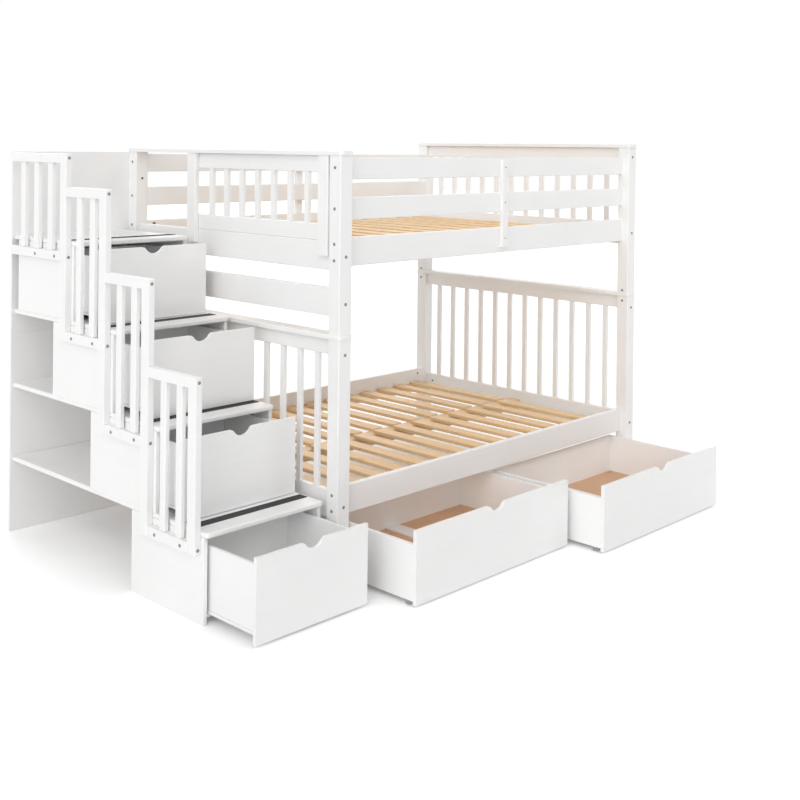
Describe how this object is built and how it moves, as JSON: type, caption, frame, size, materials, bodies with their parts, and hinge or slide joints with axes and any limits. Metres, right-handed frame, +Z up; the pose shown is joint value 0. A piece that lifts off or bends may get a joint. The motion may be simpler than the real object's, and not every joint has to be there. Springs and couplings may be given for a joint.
{
  "type": "bunk bed with storage stairs",
  "caption": "Slatted bunk bed, one bunk above the other, with wide drawers on casters below and a flight of storage steps with a drawer in every step at one end.",
  "frame": {"origin": "on the floor, under the middle of the whole outline with the drawers open as in the picture", "axes": "+X along the bed, away from the stairs; +Y from the open front to the back; +Z up"},
  "size_m": [2.6166, 1.9954, 1.704],
  "materials": {
    "frame_paint": "white satin lacquer on solid wood",
    "stair_paint": "white satin lacquer on board",
    "drawer_front_paint": "white satin lacquer on board",
    "drawer_box_paint": "white lacquered board",
    "pine_slats": "plain planed pine",
    "pine_bearers": "plain planed pine",
    "plywood": "plain plywood",
    "grip_strip": "black ribbed anti-slip strip",
    "bolt_metal": "zinc plated, dull",
    "caster_axle": "drawn steel pin",
    "caster_wheel": "grey plastic wheel"
  },
  "bodies": {
    "bunk_frame": {"drawer_cleats": "stair_paint", "entry_end_boards": "frame_paint", "entry_screen_bars": "frame_paint", "entry_screen_rails": "frame_paint", "entry_stiles": "frame_paint", "frame_bolts": "bolt_metal", "guard_battens": "frame_paint", "guard_rails_back": "frame_paint", "guard_rails_front": "frame_paint", "lower_caps": "frame_paint", "lower_centre_beam": "pine_bearers", "lower_end_bars_left": "frame_paint", "lower_end_bars_right": "frame_paint", "lower_end_rails_left": "frame_paint", "lower_end_rails_right": "frame_paint", "lower_ledges": "pine_bearers", "lower_posts": "frame_paint", "lower_side_rail_back": "frame_paint", "lower_side_rail_front": "frame_paint", "lower_slats": "pine_slats", "stair_back_sheets": "stair_paint", "stair_box_backs": "stair_paint", "stair_guard_1": "stair_paint", "stair_guard_2": "stair_paint", "stair_guard_3": "stair_paint", "stair_guard_4": "stair_paint", "stair_panels_left": "stair_paint", "stair_panels_right": "stair_paint", "stair_treads": "stair_paint", "tread_grips": "grip_strip", "upper_cap_left": "frame_paint", "upper_cap_right": "frame_paint", "upper_centre_beam": "pine_bearers", "upper_end_bars_right": "frame_paint", "upper_end_rails_right": "frame_paint", "upper_ledges": "pine_bearers", "upper_posts_left": "frame_paint", "upper_posts_right": "frame_paint", "upper_side_rails": "frame_paint", "upper_slats": "pine_slats"},
    "stair_drawer_1": {"stair_drawer_1_box": "drawer_box_paint", "stair_drawer_1_front": "drawer_front_paint"},
    "stair_drawer_2": {"stair_drawer_2_box": "drawer_box_paint", "stair_drawer_2_front": "drawer_front_paint"},
    "stair_drawer_3": {"stair_drawer_3_box": "drawer_box_paint", "stair_drawer_3_front": "drawer_front_paint"},
    "stair_drawer_4": {"stair_drawer_4_box": "drawer_box_paint", "stair_drawer_4_front": "drawer_front_paint"},
    "bed_drawer_left": {"bed_drawer_left_axles": "caster_axle", "bed_drawer_left_bottom": "plywood", "bed_drawer_left_box": "drawer_box_paint", "bed_drawer_left_front": "drawer_front_paint"},
    "bed_drawer_left_wheels_front": {"bed_drawer_left_wheels_front": "caster_wheel"},
    "bed_drawer_left_wheels_rear": {"bed_drawer_left_wheels_rear": "caster_wheel"},
    "bed_drawer_right": {"bed_drawer_right_axles": "caster_axle", "bed_drawer_right_bottom": "plywood", "bed_drawer_right_box": "drawer_box_paint", "bed_drawer_right_front": "drawer_front_paint"},
    "bed_drawer_right_wheels_front": {"bed_drawer_right_wheels_front": "caster_wheel"},
    "bed_drawer_right_wheels_rear": {"bed_drawer_right_wheels_rear": "caster_wheel"}
  },
  "joints": [
    {"name": "stair_drawer_1_slide", "type": "slide", "parent": "bunk_frame", "child": "stair_drawer_1", "axis": [0, -1, 0], "range_m": [-0.261, 0.059]},
    {"name": "stair_drawer_2_slide", "type": "slide", "parent": "bunk_frame", "child": "stair_drawer_2", "axis": [0, -1, 0], "range_m": [-0.147, 0.173]},
    {"name": "stair_drawer_3_slide", "type": "slide", "parent": "bunk_frame", "child": "stair_drawer_3", "axis": [0, -1, 0], "range_m": [-0.184, 0.136]},
    {"name": "stair_drawer_4_slide", "type": "slide", "parent": "bunk_frame", "child": "stair_drawer_4", "axis": [0, -1, 0], "range_m": [-0.149, 0.171]},
    {"name": "bed_drawer_left_slide", "type": "slide", "parent": "bunk_frame", "child": "bed_drawer_left", "axis": [0, -1, 0], "range_m": [-0.3725, 0.1825]},
    {"name": "bed_drawer_left_wheels_front_roll", "type": "hinge", "parent": "bed_drawer_left", "child": "bed_drawer_left_wheels_front", "pos_m": [-0.18242, -0.78975, 0.017], "axis": [1, 0, 0], "continuous": true},
    {"name": "bed_drawer_left_wheels_rear_roll", "type": "hinge", "parent": "bed_drawer_left", "child": "bed_drawer_left_wheels_rear", "pos_m": [-0.18242, -0.28975, 0.017], "axis": [1, 0, 0], "continuous": true},
    {"name": "bed_drawer_right_slide", "type": "slide", "parent": "bunk_frame", "child": "bed_drawer_right", "axis": [0, -1, 0], "range_m": [-0.5345, 0.0205]},
    {"name": "bed_drawer_right_wheels_front_roll", "type": "hinge", "parent": "bed_drawer_right", "child": "bed_drawer_right_wheels_front", "pos_m": [0.77058, -0.95175, 0.017], "axis": [1, 0, 0], "continuous": true},
    {"name": "bed_drawer_right_wheels_rear_roll", "type": "hinge", "parent": "bed_drawer_right", "child": "bed_drawer_right_wheels_rear", "pos_m": [0.77058, -0.45175, 0.017], "axis": [1, 0, 0], "continuous": true}
  ],
  "couplings": [
    {"joint": "bed_drawer_left_wheels_front_roll", "follows": "bed_drawer_left_slide", "rad_per_m": 58.824},
    {"joint": "bed_drawer_left_wheels_rear_roll", "follows": "bed_drawer_left_slide", "rad_per_m": 58.824},
    {"joint": "bed_drawer_right_wheels_front_roll", "follows": "bed_drawer_right_slide", "rad_per_m": 58.824},
    {"joint": "bed_drawer_right_wheels_rear_roll", "follows": "bed_drawer_right_slide", "rad_per_m": 58.824}
  ]
}
